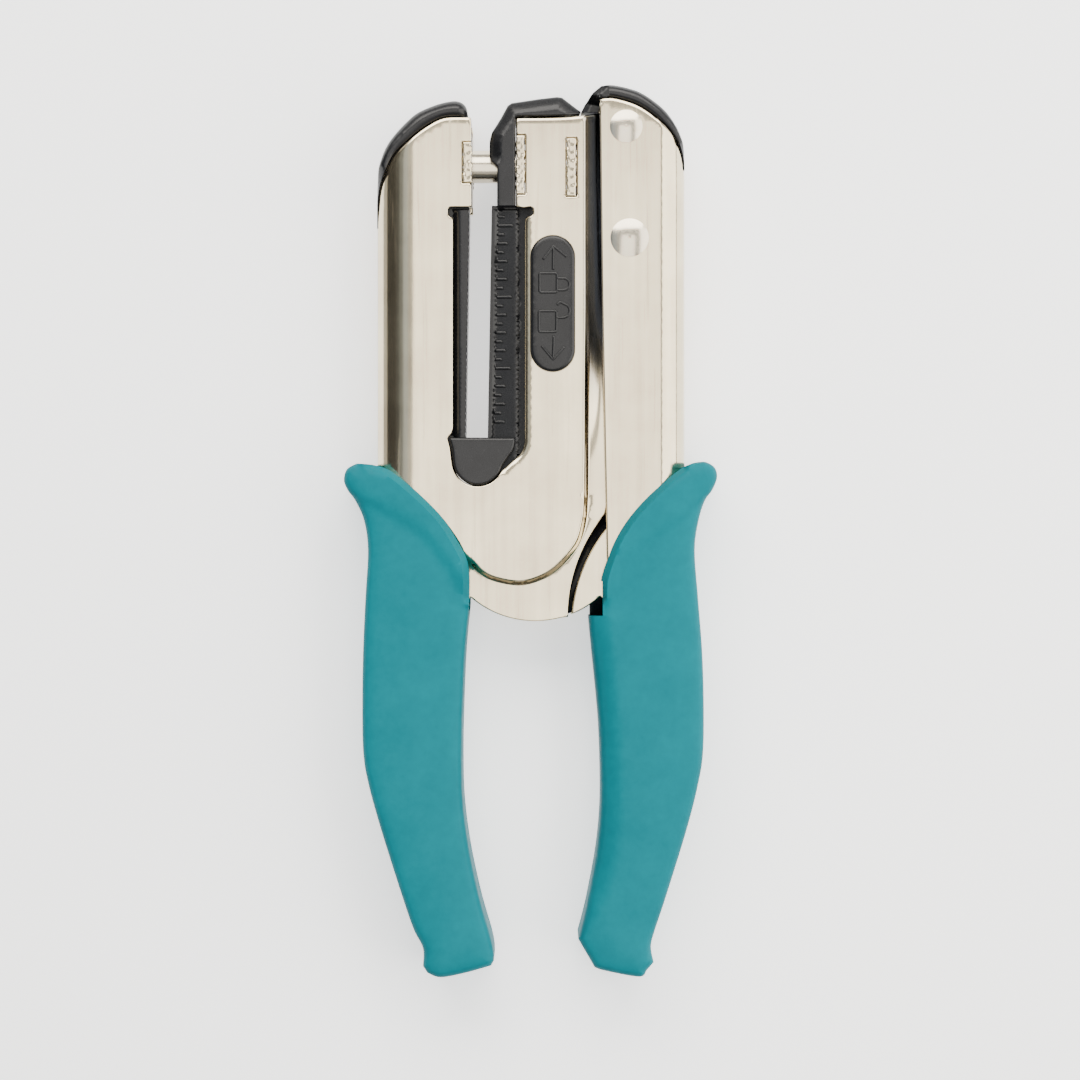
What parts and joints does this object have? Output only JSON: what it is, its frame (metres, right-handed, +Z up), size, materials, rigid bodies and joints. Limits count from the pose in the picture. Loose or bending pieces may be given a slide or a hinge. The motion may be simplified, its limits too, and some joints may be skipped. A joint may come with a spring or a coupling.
{
  "type": "hand hole punch",
  "caption": "Plier-style hand hole punch for paper craft: folded steel frame with a long throat and depth scale, round punch and die, squeeze lever, lock slider and soft grips.",
  "frame": {"origin": "Centre of the bounding box's bottom: on the surface the punch lies on, below the middle of its outline.", "axes": "+Y along the tool from the grips to the jaws, +X to the lever's side, +Z up, out of the face with the lock slider."},
  "size_m": [0.0662, 0.1588, 0.018],
  "materials": {
    "stainless_sheet": "folded stainless sheet, satin, fine brush marks and light handling scratches",
    "bright_steel": "turned bright steel with fine concentric marks",
    "plate_steel": "stamped plate steel, dull grey",
    "charcoal_plastic": "moulded charcoal plastic with a fine satin grain",
    "teal_rubber": "soft teal grip, satin, slightly mottled"
  },
  "bodies": {
    "frame": {"frame_shell": "stainless_sheet", "die_plate": "plate_steel", "front_guide": "plate_steel", "rear_guide": "plate_steel", "throat_liner": "charcoal_plastic", "depth_scale_front": "charcoal_plastic", "depth_scale_back": "charcoal_plastic", "die_arm_cap": "charcoal_plastic", "punch_arm_cap": "charcoal_plastic", "left_grip": "teal_rubber", "pivot_bush": "bright_steel", "lock_detent_spring": "bright_steel"},
    "lever": {"lever_shell": "stainless_sheet", "lever_tang": "stainless_sheet", "lever_cap": "charcoal_plastic", "right_grip": "teal_rubber", "pivot_rivet": "bright_steel", "drive_rivet": "bright_steel", "drive_roller": "bright_steel", "opening_spring": "bright_steel"},
    "punch": {"punch_pin": "bright_steel", "drive_yoke": "plate_steel", "cross_pin": "bright_steel"},
    "lock": {"lock_knob": "charcoal_plastic", "lock_bar": "plate_steel", "lock_screw": "bright_steel"}
  },
  "joints": [
    {"name": "lever_hinge", "type": "hinge", "parent": "frame", "child": "lever", "pos_m": [0.017, 0.0718, 0.009], "axis": [0, 0, 1], "range_deg": [0, 15.6]},
    {"name": "punch_slide", "type": "slide", "parent": "frame", "child": "punch", "axis": [1, 0, 0], "range_m": [0, 0.0054]},
    {"name": "lock_slide", "type": "slide", "parent": "frame", "child": "lock", "axis": [0, 1, 0], "range_m": [0, 0.003]}
  ],
  "couplings": [
    {"joint": "punch_slide", "follows": "lever_hinge", "m_per_rad": 0.01966}
  ]
}
